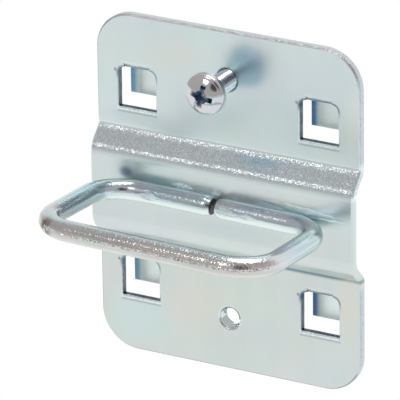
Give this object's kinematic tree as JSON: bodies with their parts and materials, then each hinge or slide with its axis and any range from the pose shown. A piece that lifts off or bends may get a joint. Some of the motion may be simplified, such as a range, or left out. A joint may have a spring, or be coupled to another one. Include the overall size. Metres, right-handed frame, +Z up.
{
  "type": "pliers holder",
  "caption": "Folded sheet-steel tool holder with lanced hooks for a square-hole panel, a welded wire loop that carries pliers and a locking screw.",
  "frame": {"origin": "middle of the four hooks, on the plane of the plate's back face, which turns to the panel", "axes": "+X to the right seen from the front, +Y back into the panel, +Z up"},
  "size_m": [0.055, 0.0393, 0.0675],
  "materials": {
    "zinc_sheet": "bright zinc plate over pressed steel sheet, satin mirror",
    "zinc_wire": "bright zinc plate over drawn steel wire, glossy",
    "zinc_screw": "bright zinc plate over a formed steel screw, glossy"
  },
  "bodies": {
    "holder": {"mounting_plate": "zinc_sheet", "wire_loop": "zinc_wire"},
    "screw": {"locking_screw": "zinc_screw"}
  },
  "joints": [
    {"name": "screw_travel", "type": "slide", "parent": "holder", "child": "screw", "axis": [0, 1, 0], "range_m": [-0.0013, 0.0072]}
  ]
}
